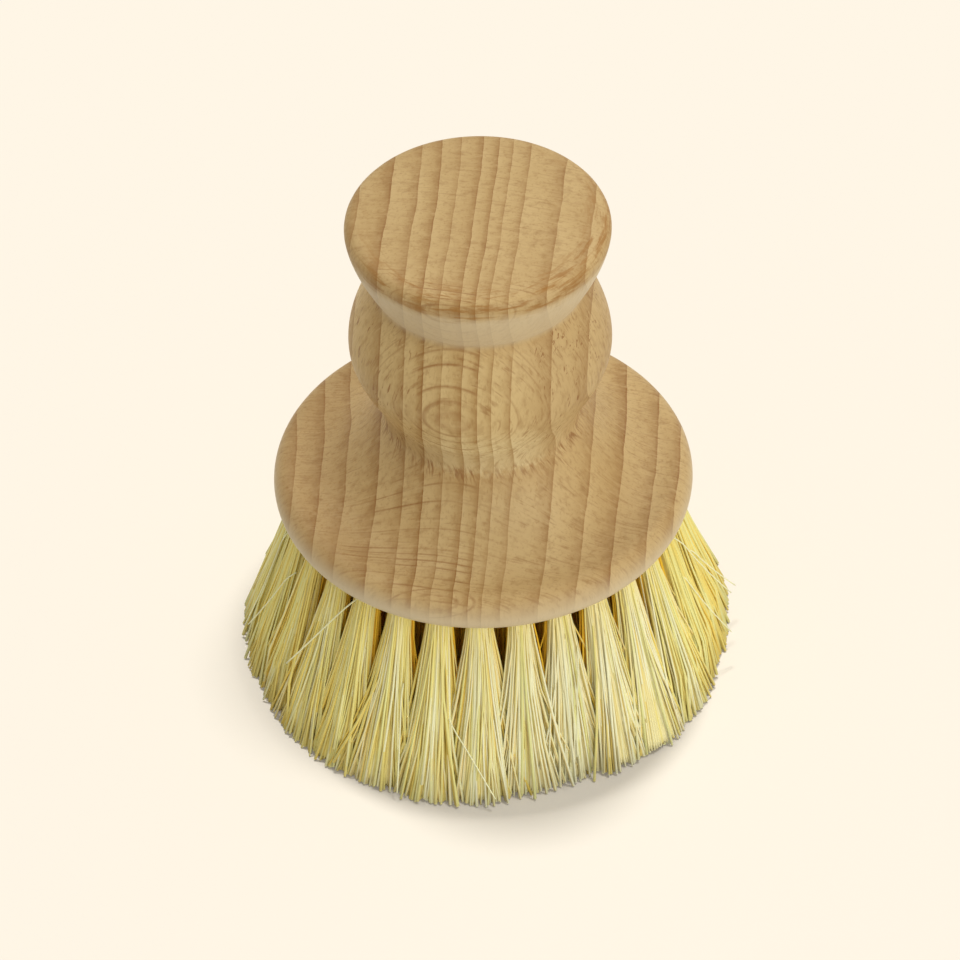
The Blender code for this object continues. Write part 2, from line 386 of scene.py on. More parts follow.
# Growth rings: where each ring line crosses the middle of the block, in
# millimetres to the right of the turning axis
RING_LINES = (
    -42.0, -36.5, -31.6, -27.0, -23.0, -19.3, -14.4, -10.2, -7.1, -4.2, -0.9, 1.5, 3.6, 6.4, 12.2,
    17.3, 21.9, 26.9, 30.4, 35.0, 42.0,
)
RING_REACH = 42.0

# How the rings bow over the block: millimetres for each millimetre, or each
# square millimetre, of place x, depth y and rise above the middle level
MIDDLE_LEVEL = 60.0
BOW_DEPTH, BOW_RISE = 0.0896, 0.0324
BOW_DEPTH_DEPTH, BOW_RISE_RISE = -0.00139, -0.00043
BOW_PLACE_DEPTH, BOW_PLACE_RISE, BOW_DEPTH_RISE = 0.00094, -0.00152, 0.00111

# How far the rings and the rays wander and ripple, in millimetres
RING_WANDER, RING_RIPPLE, RAY_WANDER = 1.1, 0.22, 0.5

# Rays stand square to the rings, turned a little from straight back
RAY_SIDEWAYS, RAY_BACK = 0.22, 0.975

# Rays that show as arcs on the front of the block: millimetres behind the
# turning axis, half width and how dark each is, for the disc, the middle of the
# bead and the bead's sides
DISC_RAY_LINES = (
    (-31.2, 0.16, 0.5), (-29.3, 0.18, 0.7), (-27.4, 0.18, 0.8), (-25.6, 0.16, 0.8), (-24.6, 0.16, 0.9),
    (-23.7, 0.14, 0.8), (-22.9, 0.17, 1.0), (-20.4, 0.12, 0.6), (-17.6, 0.12, 0.9), (-16.0, 0.12, 0.8),
)
BEAD_RAY_LINES = (
    (-19.75, 0.12, 0.5), (-19.35, 0.12, 0.8), (-18.6, 0.12, 0.9), (-17.2, 0.13, 1.0), (-16.15, 0.12, 0.8),
)
SIDE_RAY_LINES = ((-21.0, 0.11, 0.8), (-17.5, 0.11, 0.8), (-14.9, 0.11, 0.9), (-14.1, 0.11, 1.0))
RAY_LOW, RAY_HIGH = -34.0, -13.0

# How much further right the arcs start on the bead than on the disc
ARC_SHIFT = 9.5
ARC_SHARE = 0.95

# The small oval figure on the rim's front: its place to the right and up the
# slant that the front sees, its half sizes there and how far it wanders
OVAL_PLACE, OVAL_RISE = -8.2, 5.43
OVAL_UP, OVAL_BACK = 0.72, 0.69
OVAL_HALF_WIDTH, OVAL_HALF_HEIGHT = 6.4, 2.18
OVAL_WANDER = 0.12

# Slants of the fine hairs and of the torn fibres, the middle of the front's
# figure, the direction that the oil sank in from, the radius that marks round
# the block are counted at, and how ragged the edges of the painted sheen and
# the painted light are
HAIR_SLANT = 0.30
TEAR_SLANT = 0.36
FIGURE_MIDDLE = -1.0
OIL_SIDEWAYS = 0.45
MARK_RADIUS = 17.0
RAGGED = 3.0

# How far into a year the wood grows evenly darker
EVEN_GROWTH = 0.9

WOOD_PATTERNS = {
    "wander": ("x y z", (16.0, 12.0, 30.0), 1.0),
    "ripple": ("x y z", (1.6, 1.6, 8.0), 1.0),
    "yearly": ("year still still", (1 / 3.7, 1.0, 1.0), 0.0),
    "patch": ("x y z", (5.0, 5.0, 14.0), 2.0),
    "broken": ("year around z", (1 / 5.3, 0.9, 7.0), 0.0),
    "ray": ("across around z", (6.0, 0.26, 2.2), 1.5),
    "gate": ("across around z", (2.2, 1.4, 2.4), 1.0),
    "flame": ("across around z", (8.0, 0.38, 3.0), 2.0),
    "lit": ("across around z", (1.7, 1.2, 3.0), 1.0),
    "pores": ("x y z", (0.42, 0.42, 1.6), 2.0),
    "mottle": ("x y z", (1.5, 1.1, 2.6), 3.0),
    "cloud": ("x y z", (11.0, 11.0, 24.0), 3.0),
    "hair": ("slanted y z", (0.30, 0.5, 3.4), 1.0),
    "bunch": ("x y z", (2.6, 2.6, 4.0), 1.0),
    "soak": ("turned girth z", (4.5, 0.8, 0.8), 4.0, 0.6),
    "fuzz": ("x y z", (0.8, 0.8, 0.8), 2.0),
    "tear": ("torn girth z", (0.45, 2.0, 2.4), 2.0),
    "stretch": ("turned still still", (4.0, 1.0, 1.0), 1.0),
}

WOOD_MARKS = {
    "year_strength": (1.0, ("yearly", 0.35, 0.65, 0.6, 1.0)),
    "ring_patches": (1.0, ("patch", 0.3, 0.7, 0.7, 1.0)),
    "late_season": (0.52, ("season", 0.55, 0.96)),
    "ring_line": (0.48, ("season", 0.90, 0.99)),
    "on_bead": (1.0, ("z", 50.0, 53.0)),
    "front_arcs": (1.0, ("arc_run", -19.5, -17.0), ("across", 2.5, 0.5), ("broken", 0.34, 0.52, 0.35, 1.0)),
    "left_arcs": (0.55, ("across", -16.0, -14.5), ("across", -9.5, -11.0)),
    "right_arcs": (0.55, ("across", 5.2, 6.2), ("across", 11.5, 10.0)),
    "oval_outside": (1.0, ("oval", 0.92, 0.99), ("oval", 1.07, 1.00)),
    "oval_inside": (0.7, ("oval", 0.50, 0.58), ("oval", 0.68, 0.60)),
    "on_rim": (0.55, ("y", -15.0, -20.0), ("z", 40.0, 39.0), ("broken", 0.34, 0.50, 0.45, 1.0)),
    "dashes": (1.0, ("ray", 0.575, 0.66), ("gate", 0.44, 0.60), ("z", 82.5, 84.5, 1.0, 0.35)),
    "dash_strength": (1.0, ("z", 46.0, 50.0, 0.28, 0.40)),
    "dark_flame": (0.28, ("flame", 0.53, 0.66), ("lit", 0.40, 0.62, 0.25, 1.0)),
    "pale_flame": (0.34, ("flame", 0.47, 0.34), ("lit", 0.40, 0.62, 0.25, 1.0)),
    "dark_pores": (0.28, ("pores", 0.50, 0.75)),
    "dark_mottle": (0.36, ("mottle", 0.50, 0.78)),
    "pale_mottle": (0.42, ("mottle", 0.50, 0.24)),
    "clouds": (0.30, ("cloud", 0.40, 0.68)),
    # Painted shade: the disc darker on its left, away from the key light
    "brown_side": (0.20, ("x", -17.0, -24.0), ("z", 50.0, 45.0)),
    "hairs": (
        0.75, ("hair", 0.62, 0.69), ("bunch", 0.46, 0.60), ("z", 46.0, 50.0), ("z", 80.0, 74.0),
        ("aside", 5.0, 11.0, 0.15, 1.0),
    ),
    # Painted light: the lower bead, which faces down, and the disc round the waist, made paler in the front
    # middle
    "worn_bead": (1.0, ("fuzzy", 49.4, 51.4), ("z", 64.0, 54.0)),
    "worn_disc": (0.20, ("girth", 15.6, 18.0), ("z", 50.0, 47.0), ("girth", 30.0, 24.0)),
    "worn_middle": (0.8, ("x", -13.0, -3.0), ("x", 16.0, 6.0), ("y", -4.0, -12.0)),
    # Painted light: the bead paler on its left and in its middle, away from the key light
    "pale_bead": (1.0, ("z", 52.0, 56.0), ("z", 76.0, 73.0), ("x", 12.0, 2.0)),
    # Painted sheen: the cove and the rim's foot paler where they turn down to the floor, the rim's left
    # more as painted light
    "cove": (0.68, ("z", 74.3, 76.3), ("scraped", 84.9, 82.3)),
    "foot": (1.0, ("z", 37.4, 33.6), ("girth", 28.0, 29.5), ("x", 0.0, -20.0, 0.75, 0.95)),
    # The crease: dark brown torn fibres along it, and painted shade in the crease
    "crease": (
        0.75, ("z", 46.6, 48.4), ("z", 50.8, 49.0), ("tear", 0.45, 0.66), ("girth", 18.0, 16.6),
        ("stretch", 0.35, 0.6, 0.3, 1.0),
    ),
    "knob_edge": (1.0, ("z", 83.4, 84.8), ("girth", 14.5, 18.4), ("oiled_side", 4.0, -10.0, 0.25, 1.0)),
    "soaked": (0.85, ("soak", 0.47, 0.66)),
    "soaked_rings": (0.15, ("season", 0.5, 1.0)),
    "open_pores": (0.6, ("pores", 0.5, 0.7)),
    "roughness": (1.0, ("pores", 0.4, 0.7, 0.46, 0.60)),
}

# Marks laid over the rings in turn, each with its colour
WOOD_COATS = (
    ("dark_flame", "late_wood"), ("pale_flame", "pale_wood"), ("rays", "ray_brown"),
    ("dark_pores", "late_wood"), ("dark_mottle", "late_wood"), ("pale_mottle", "pale_wood"),
    ("clouds", "mid_wood"), ("brown_side", "late_wood"), ("hairs", "ray_brown"),
)

# How much brighter the painted light makes the lower bead, the disc round the
# waist and the bead's left and middle, in red, green and blue
PAINTED_LIGHT_GAIN = (1.30, 1.52, 1.90)
PAINTED_LEFT_LIGHT_GAIN = (1.15, 1.19, 1.20)

# Depths of the arcs and the dashes, as shares of the bump
ARC_DEPTH, DASH_DEPTH = 0.5, 0.6
WOOD_BUMP = {"Strength": 0.4, "Distance": 0.06 * MM}


def comb(lines):
    """Ramp stops that rise to each ray's strength and fall back to nothing."""
    stops = []
    for line, half_width, strength in lines:
        for place, level in ((line - half_width, 0.0), (line, strength), (line + half_width, 0.0)):
            stops.append(((place - RAY_LOW) / (RAY_HIGH - RAY_LOW), level))
    return stops


def beech_values(finish):
    """Where a point lies in the wood, in millimetres and in years.

    x, y and z are its place as the front sees it, girth its distance from the
    axis and turned the run round the axis. across counts millimetres across the
    growth rings, whose bow is a sum of first and second powers of depth and rise
    and of their products; a ramp turns it into years. around runs along the
    rings, and oval grows from 0 in the middle of the rim's figure to 1 round it.
    """
    along_x, along_y, z = finish.place()
    cosine, sine = math.cos(VIEW_TURN), math.sin(VIEW_TURN)
    x, y = along_x * cosine + along_y * sine, along_y * cosine - along_x * sine
    wood = Values(finish, WOOD_PATTERNS, WOOD_MARKS, x=x, y=y, z=z, still=MEAN)

    rise = z - MIDDLE_LEVEL
    bow = y * BOW_DEPTH + y * y * BOW_DEPTH_DEPTH + x * y * BOW_PLACE_DEPTH + rise * BOW_RISE
    bow = bow + rise * rise * BOW_RISE_RISE + x * rise * BOW_PLACE_RISE + y * rise * BOW_DEPTH_RISE
    wander = wood["wander"] - MEAN
    across = x - bow + wander * RING_WANDER + (wood["ripple"] - MEAN) * RING_RIPPLE
    count, whole_run = len(RING_LINES) - 1, 2 * RING_REACH
    stops = [((line + RING_REACH) / whole_run, number / count) for number, line in enumerate(RING_LINES)]
    reached = (across + RING_REACH) / whole_run
    years = finish.node("ShaderNodeValToRGB", {"stops": stops}, {0: reached}) * count

    to_right = (x - OVAL_PLACE) / OVAL_HALF_WIDTH
    upward = (z * OVAL_UP + y * OVAL_BACK - OVAL_RISE) / OVAL_HALF_HEIGHT
    turned = y.math("ARCTAN2", x) * MARK_RADIUS
    wood.known.update(
        across=across,
        around=x * RAY_SIDEWAYS + y * RAY_BACK + wander * RAY_WANDER,
        season=years.fraction(),
        year=years.whole(),
        girth=(x * x + y * y) ** 0.5,
        turned=turned,
        torn=turned + z * TEAR_SLANT,
        slanted=x - z * HAIR_SLANT,
        aside=(x - FIGURE_MIDDLE).size(),
        oiled_side=y - x * OIL_SIDEWAYS,
        oval=(to_right ** 2 + upward ** 2 + wander * OVAL_WANDER) ** 0.5,
    )
    wood.known.update(
        arc_run=across - wood["on_bead"] * ARC_SHIFT,
        scraped=z + (wood["soak"] - MEAN) * RAGGED,
        fuzzy=z + wood["fuzz"] * RAGGED,
    )
    return wood


def ray_arcs(finish, wood):
    """Arcs on the front of the disc and the bead, at the bead's sides and in the rim's oval."""
    place = (wood["around"] - RAY_LOW) / (RAY_HIGH - RAY_LOW)
    disc, bead, side = (
        finish.node("ShaderNodeValToRGB", {"stops": comb(lines)}, {0: place})
        for lines in (DISC_RAY_LINES, BEAD_RAY_LINES, SIDE_RAY_LINES)
    )
    on_bead = wood["on_bead"]
    front = (disc * (1.0 - on_bead) + bead * on_bead) * wood["front_arcs"]
    beside = side * (wood["left_arcs"] + wood["right_arcs"]) * on_bead
    oval = (wood["oval_outside"] + wood["oval_inside"]) * wood["on_rim"]
    return front.at_least(beside).at_least(oval)


def beech_finish(sizes):
    """Oiled beech. The grain runs up the axis and the growth rings cross it.

    Within a year the wood goes from pale to brown and ends in a thin line. Rays
    stand square to the rings: they are long across the rings, a few millimetres
    tall and very thin, so they show as ovals on the bead's front, arcs on the
    disc and dashes at the sides.
    """
    finish = Finish("oiled_beech", roughness=0.5, specular=0.22)
    wood = beech_values(finish)
    arcs = ray_arcs(finish, wood)
    wood.known["rays"] = (wood["dashes"] * wood["dash_strength"]).at_least(arcs * ARC_SHARE)

    growth = wood["season"].ramp(0.0, EVEN_GROWTH) * wood["year_strength"]
    late = (wood["late_season"] + wood["ring_line"]) * wood["year_strength"] * wood["ring_patches"]
    tone = finish.blend(growth, sizes.pale_wood, sizes.mid_wood)
    tone = finish.blend(late, tone, sizes.late_wood)
    tone = wood.coat(tone, sizes, WOOD_COATS)
    # Painted light on the lower bead and the disc round the waist
    painted_light = (wood["worn_bead"] + wood["worn_disc"]) * wood["worn_middle"]
    tone = finish.blend(painted_light, tone, PAINTED_LIGHT_GAIN, how="MULTIPLY")
    # Painted light on the bead's left and middle
    tone = finish.blend(wood["pale_bead"], tone, PAINTED_LEFT_LIGHT_GAIN, how="MULTIPLY")
    # Painted sheen on the cove and the rim's foot, which turn down to the floor
    wood.known["scraped_clean"] = wood["cove"] + wood["foot"]
    wood.known["oil"] = wood["knob_edge"] * (wood["soaked"] + wood["soaked_rings"])
    tone = wood.coat(
        tone, sizes, (("scraped_clean", "painted_sheen_wood"), ("crease", "ray_brown"), ("oil", "oiled_wood"))
    )

    finish.use("Base Color", tone)
    finish.use("Roughness", wood["roughness"])
    height = wood["flame"] - arcs * ARC_DEPTH - wood["dashes"] * DASH_DEPTH - wood["open_pores"]
    finish.use("Normal", finish.node("ShaderNodeBump", sockets={**WOOD_BUMP, "Height": height}))
    return finish.material


# Plant fibre

# Packed, inner-side, upper and behind fibres are painted golden and amber as shade deep in the brush lit
# through other fibres, and the core's cut end gets painted shade between its fibre ends
FIBRE_MARKS = {
    "pale": (1.0, ("shade", 0.35, 1.15)),
    "dark": (0.75, ("shade", 0.22, -0.10)),
    "greenish": (1.0, ("green", 0.80, 0.95)),
    "packed": (1.0, ("buried", 0.02, 0.32)),
    "inner_side": (0.45, ("inward", 0.20, 0.80)),
    "upper": (0.6, ("along", 0.45, -0.05)),
    "upper_core": (1.0, ("along", 1.0, 0.3, 0.25, 0.70)),
    "behind": (1.0, ("along", 0.75, 0.35)),
    "between_ends": (0.85, ("ends", 0.10, 0.02), ("along", 0.985, 0.995), ("z", 2.5, 1.5)),
}

# Marks laid over the straw in turn, each with its colour
FIBRE_COATS = (
    ("pale", "cream"), ("dark", "golden"), ("greenish", "green"), ("packed", "golden"),
    ("inner_side", "amber"), ("rooted", "golden"), ("sunk", "amber"), ("gaps", "gap"), ("wire", "steel"),
)

# Fibre ends to a millimetre in the pattern on a core's cut end
ENDS_SCALE = 2.3


def fibre_finish(sizes):
    """Plant fibre: straw with cream, golden and greenish fibres, and golden painted shade at the root.

    Every fibre has a shade and a greenness of its own. Fibres that are packed
    deep, face inward or lie behind others are the colour of light that has come
    through fibres. The cut end of a core shows the ends of fibres as cells.
    """
    finish = Finish("plant_fibre", roughness=0.42, specular=0.22)
    x, y, z = finish.place()
    cells = {"Vector": finish.vector(x, y, 0.0), "Scale": ENDS_SCALE}
    ends = finish.node("ShaderNodeTexVoronoi", {"feature": "DISTANCE_TO_EDGE"}, cells)
    fibre = Values(finish, {}, FIBRE_MARKS, z=z, ends=ends)
    fibre.known.update(
        rooted=fibre["upper"].at_least(fibre["core"] * fibre["upper_core"]),
        sunk=fibre["deep"] * fibre["behind"],
        gaps=fibre["core"] * fibre["between_ends"],
    )
    finish.use("Base Color", fibre.coat(sizes.straw, sizes, FIBRE_COATS))
    finish.use("Metallic", fibre["wire"])
    return finish.material


# Mesh making


def mesh_object(name, points, faces, material=None, values=None):
    """An object from arrays: its corners, its faces and numbers at its corners."""
    mesh = bpy.data.meshes.new(name)
    mesh.from_pydata(points.tolist(), [], faces)
    for key, numbers in (values or {}).items():
        layer = mesh.attributes.new(key, "FLOAT", "POINT")
        layer.data.foreach_set("value", numbers.astype(np.float32).ravel())
    if material:
        mesh.materials.append(material)
        mesh.shade_smooth()
        mesh.validate()
    item = bpy.data.objects.new(name, mesh)
    bpy.context.scene.collection.objects.link(item)
    return item


def finish_piece(item, slot, *nodes):
    """Let a piece ride with the brush in place of its nodes. The slot is not used."""
    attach(item, "root")
    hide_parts(*nodes)


def ring_faces(rows, columns):
    """Quads between neighbouring rows of a tube of closed rings."""
    row, column = np.meshgrid(np.arange(rows - 1), np.arange(columns), indexing="ij")
    here, below, after = row * columns, (row + 1) * columns, (column + 1) % columns
    corners = (here + column, below + column, below + after, here + after)
    return np.stack(corners, axis=-1).reshape(-1, 4)


def circle(sides):
    """Cosines and sines of even turns round a circle."""
    turn = np.linspace(0, 2 * np.pi, sides, endpoint=False)
    return np.cos(turn), np.sin(turn)


def join_parts(parts, keys=()):
    """One mesh from several, each its corners, its faces and numbers at its corners.

    A part's number is 0 under a key that it hasn't.
    """
    faces, start = [], 0
    columns = {key: [] for key in keys}
    for points, part_faces, numbers in parts:
        faces += [tuple(corner + start for corner in face) for face in part_faces]
        start += len(points)
        for key in keys:
            columns[key].append(np.broadcast_to(numbers.get(key, 0.0), len(points)))
    values = {key: np.concatenate(column) for key, column in columns.items()}
    return np.concatenate([points for points, _, _ in parts]), faces, values


def carried(points, place):
    """Points moved from a tuft's own frame to its place in the block."""
    return points @ np.array(place.to_3x3()).T + np.array(place.translation)


# Turned block

AROUND = 192
OUTLINE_STEP = 0.5 * MM
DENSE = 400
FINE = 8
BELL_REACH = 3
DOME_BEND, COVE_BEND, DISC_BEND = 2, 1.5, 2.2
DRILL_POINT = 0.7 * MM
DRILL_OVERRUN = 1.5 * MM
DRILL_SIDES = 32
CREASE_ANGLE = math.radians(35)


def block_outline(sizes):
    """Radius and level down the outline, from the top pole to the edge of the underside.

    Each stretch is a formula of a share u that runs from 0 to 1 down it. The
    dome drops by u squared, the knob's edge is a quarter circle, the cove draws
    in by u to the power 1.5, the bead swells by a quarter sine and falls by a
    half cosine, the disc sweeps out by 1 - (1 - u) to the power 2.2, and the
    rim is a half circle.
    """
    u = np.linspace(0, 1, DENSE)
    quarter, half = u * np.pi / 2, u * np.pi
    edge_level = sizes.top_level - sizes.dome_height
    knob_level = edge_level - sizes.knob_edge
    edge_place = sizes.knob_radius - sizes.knob_edge
    rim = sizes.rim_thickness / 2
    rim_place = sizes.disc_radius - rim
    rim_level = sizes.underside_level + rim
    disc_top = sizes.underside_level + sizes.rim_thickness
    swell = sizes.bead_radius - sizes.groove_radius
    fall = sizes.bead_radius - sizes.waist_radius
    stretches = [
        (edge_place * u, edge_level + sizes.dome_height * (1 - u ** DOME_BEND)),
        (edge_place + sizes.knob_edge * np.sin(quarter), knob_level + sizes.knob_edge * np.cos(quarter)),
        (
            sizes.knob_radius + (sizes.groove_radius - sizes.knob_radius) * u ** COVE_BEND,
            knob_level + (sizes.groove_level - knob_level) * u,
        ),
        (
            sizes.groove_radius + swell * np.sin(quarter),
            sizes.groove_level + (sizes.bead_level - sizes.groove_level) * u,
        ),
        (
            sizes.waist_radius + fall * (1 + np.cos(half)) / 2,
            sizes.bead_level + (sizes.waist_level - sizes.bead_level) * u,
        ),
        (
            sizes.waist_radius + (rim_place - sizes.waist_radius) * u,
            sizes.waist_level + (disc_top - sizes.waist_level) * (1 - (1 - u) ** DISC_BEND),
        ),
        (rim_place + rim * np.sin(half), rim_level + rim * np.cos(half)),
    ]
    return np.concatenate([np.stack(stretch, axis=1) for stretch in stretches])


def soften(outline, step, softness):
    """Even steps along an outline, each point then the bell-weighted mean of its neighbours."""
    run = np.concatenate([[0], np.cumsum(np.linalg.norm(np.diff(outline, axis=0), axis=1))])
    count = int(run[-1] / step) + 1
    even = np.linspace(0, run[-1], count * FINE + 1)
    reach = int(BELL_REACH * softness / (even[1] - even[0]))
    offsets = np.arange(-reach, reach + 1) * (even[1] - even[0])
    weights = np.exp(-0.5 * (offsets / softness) ** 2)
    weights /= weights.sum()
    columns = []
    for column in outline.T:
        line = np.pad(np.interp(even, run, column), reach, mode="reflect", reflect_type="odd")
        columns.append(np.convolve(line, weights, mode="valid"))
    return np.stack(columns, axis=1)[::FINE]


def turned_surface(name, outline, material):
    """A surface of turning: radius and level of the outline, carried round the axis.

    The first outline point is the pole on top, and the last ring closes with
    one flat face underneath.
    """
    cosine, sine = circle(AROUND)
    radius, level = outline[1:, 0, None], outline[1:, 1, None]
    rings = np.stack([radius * cosine, radius * sine, level + 0 * cosine], axis=-1)
    points = np.concatenate([rings.reshape(-1, 3), [[0, 0, outline[0, 1]]]])
    rows = len(outline) - 1
    faces = ring_faces(rows, AROUND).tolist()
    pole = len(points) - 1
    faces += [(pole, column, (column + 1) % AROUND) for column in range(AROUND)]
    last = (rows - 1) * AROUND
    faces.append(tuple(range(last + AROUND - 1, last - 1, -1)))
    return mesh_object(name, points, faces, material)


def outer_land(settings):
    """How far from the axis the outermost holes reach."""
    return settings.block.disc_radius - settings.block.rim_thickness / 2 - settings.fibre.edge_land


def tuft_places(settings, count, number):
    """Where each tuft of a ring crosses the underside, leaning out from the axis."""
    block, splay = settings.block, settings.fibre.outer_splay
    outer = outer_land(settings) - block.hole_radius / math.cos(splay)
    lean = Matrix.Rotation(-splay * number / OUTER_NUMBER, 4, "Y")
    stand = Matrix.Translation((outer * number / OUTER_NUMBER, 0, block.underside_level)) @ lean
    return [Matrix.Rotation(2 * math.pi * index / count, 4, "Z") @ stand for index in range(count)]


def hole_cutter(block, places):
    """Drilled holes as closed plugs: straight sides and a shallow drill point."""
    cosine, sine = circle(DRILL_SIDES)
    x, y = block.hole_radius * cosine, block.hole_radius * sine
    rings = [np.stack([x, y, 0 * x + level], axis=-1) for level in (-DRILL_OVERRUN, block.hole_depth)]
    plug = np.concatenate(rings + [[[0, 0, block.hole_depth + DRILL_POINT]]])
    point = 2 * DRILL_SIDES
    faces = ring_faces(2, DRILL_SIDES)[:, ::-1].tolist()
    faces += [
        (DRILL_SIDES + side, DRILL_SIDES + (side + 1) % DRILL_SIDES, point) for side in range(DRILL_SIDES)
    ]
    faces.append(tuple(range(DRILL_SIDES - 1, -1, -1)))
    points, all_faces, _ = join_parts([(carried(plug, place), faces, {}) for place in places])
    return mesh_object("tuft_hole_drills", points, all_faces)


def cut_holes(item, cutter):
    """Cut the holes, keep the result as the piece's own mesh and drop the cutter."""
    cut = item.modifiers.new("tuft_holes", "BOOLEAN")
    cut.operation = "DIFFERENCE"
    cut.solver = "EXACT"
    cut.object = cutter
    solid = item.evaluated_get(bpy.context.evaluated_depsgraph_get())
    mesh = bpy.data.meshes.new_from_object(solid)
    plain = item.data
    item.modifiers.clear()
    item.data = mesh
    bpy.data.meshes.remove(plain)
    bpy.data.objects.remove(cutter)
    mesh.name = item.name
    mesh.shade_smooth()
    mesh.set_sharp_from_angle(angle=CREASE_ANGLE)


class DISHBRUSH_OT_turn_block(bpy.types.Operator):
    """Turn the beech block and drill its tuft holes"""

    bl_idname = "dish_brush.turn_block"
    bl_label = "Turn Block"

    def execute(self, context):
        settings = context.scene.dish_brush
        block = settings.block
        outline = soften(block_outline(block), OUTLINE_STEP, block.crease_softness)
        item = turned_surface("turned_block", outline, beech_finish(block))
        places = []
        for count, number, _ in TUFT_RINGS.values():
            places += tuft_places(settings, count, number)
        cut_holes(item, hole_cutter(block, places))
        if len(item.data.polygons) < AROUND * len(outline) // 2:
            raise RuntimeError("the tuft holes were not cut")
        finish_piece(item, "beech", "turned_beech_block")
        return {"FINISHED"}


# Fibre tufts

# Numbers that a tuft's mesh carries for its finish
TUFT_KEYS = ("shade", "deep", "buried", "green", "inward", "along", "core", "wire")

# Stations of a fibre: shares of its free length, and turns over the wire
FREE_SHARES = np.array([1.0, 0.74, 0.46, 0.18, 0.0])
FOLD_TURNS = np.radians([0, 90, 180])

# The fold: its level, its half width and height as a base and a share of the
# fibre's place and of the width, and the share of its run along the wire
FOLD_LEVEL = 2.4 * MM
FOLD_WIDTH, FOLD_WIDTH_SHARE = 0.42 * MM, 0.78
FOLD_HEIGHT, FOLD_HEIGHT_SHARE = 0.35 * MM, 0.58
FOLD_RUN_SHARE = 0.95

# The flat wire anchor
WIRE_HALF = np.array([0.25, 2.15, 0.7]) * MM
WIRE_LEVEL = 1.9 * MM

# The root of a tuft: its radius, how much closer its fibres are packed outside,
# their least distance from the wire and how unevenly they stand
ROOT_SPREAD = 1.72 * MM
OUTWARD_PACKING = 0.28
WIRE_GAP = 0.05 * MM
ROOT_SCATTER = 0.03 * MM
LEG_SCATTER = 0.04 * MM

# The fan: how late it opens, how far it overlaps its neighbours, how much wider
# it is at the right, and how far each fibre follows it
FAN_BEND = 1.9
FAN_OVERLAP = 1.38
FLARE = 1.2 * MM
FOLLOWING = (0.92, 1.06)

# Wisps that fibres are drawn to, crossings, strays, bends and slow waves
WISPS = 9
WISP_REACH = 0.8
WISP_PULL = 0.28
CROSSING = np.array([0.35, 1.35]) * MM
CROSSING_BEND = 1.5
STRAY_SHARE = 0.05
STRAY_CROSSING = 2.6
BEND = np.array([0.3, 0.8]) * MM
WAVE_HEIGHT = 0.10 * MM
WAVE_TURN = 7.0

# Tips: the gap under them, how seldom one is short, and by how much some are
TIP_GAP = 0.16 * MM
TIP_BEND = 2.2
SHORT_SHARE = 0.04
SHORT_BY = (1, 5)

# Fibres: sides of a tube, thickness from the thinnest to the thickest and what
# of it is left at the root
FIBRE_SIDES = 4
THICKNESS = (0.72, 1.25)
ROOT_THICKNESS = 0.62

# The trim round the brush: the share that stays of what is beyond it, how uneven
# it is from tuft to tuft and from fibre to fibre, how far it swells at the two
# sides, and where and how far it draws in
TRIM_KEEPS = 0.35
TRIM_UNEVEN = (-0.9, 0.5)
TRIM_RAGGED = 0.55 * MM
RAGGED_SEED = 5000
TRIM_SWELL = 0.6
TRIM_DRAWN = 2.8
SIDE_TRIMS = (Vector((-0.93, -0.37)), Vector((0.99, -0.13)))
SIDE_TRIM_WIDTH = 0.05

# Where tufts are held back in the front, how far, and how unevenly tufts sway
HELD_SIDE = Vector((0.407, -0.914))
HELD_WIDTH = 0.055
HELD_BACK = 2.7 * MM
SWAY = 0.6 * MM

# How pale a tuft is: more on the side that faces the front lamp, a painted
# light, less at the right, a painted shade, and less everywhere, and how much
# that differs from tuft to tuft
PAINTED_LIGHT_SIDE = Vector((0.5, -0.866))
PAINTED_LIGHT_RISE, PAINTED_LIGHT_BEND = 1.1, 4
PAINTED_SHADE_RIGHT = 0.4
EVEN_FALL = 0.18
PALE_SCATTER = 0.05

# How closely what happens at the left and right keeps to those sides, a power
SIDE_BEND = 6

# The imported core of a tuft: its size beside the fan and at its cut end, where
# it starts and ends, its ribs and lumps, and how packed it looks and how deep in
# the brush its sides look, which set its painted shade
CORE_SIZE = 0.87
CAP_SIZE = 0.96
CORE_TOP = 1.0 * MM
CORE_RISE = 0.7 * MM
CORE_SHARES = np.array([0.0, 0.0, 0.12, 0.25, 0.38, 0.5, 0.62, 0.74, 0.86, 0.95, 1.0, 1.0])
CORE_RIBS = 64
RIB_POINTS = 4
RIB_DEPTH = 0.05
RIB_HEIGHTS = (0.4, 1.6)
LUMPS = 5
LUMP_DEPTH = 0.022
ROOT_RELIEF = 0.35
CORE_BURIED = 0.1
SIDE_DEPTH = 0.5


def fan_factors(settings, ring, flare):
    """How many times wider the tuft is at its tips than at its root, outward and around."""
    tufts, number, reach = ring
    lean = settings.fibre.outer_splay * number / OUTER_NUMBER
    middle = (outer_land(settings) - settings.block.hole_radius) * number / OUTER_NUMBER
    tip_middle = middle + settings.block.underside_level * math.tan(lean)
    around_reach = math.pi * tip_middle / tufts * FAN_OVERLAP if number else reach
    return np.array([reach + flare, around_reach]) / ROOT_SPREAD


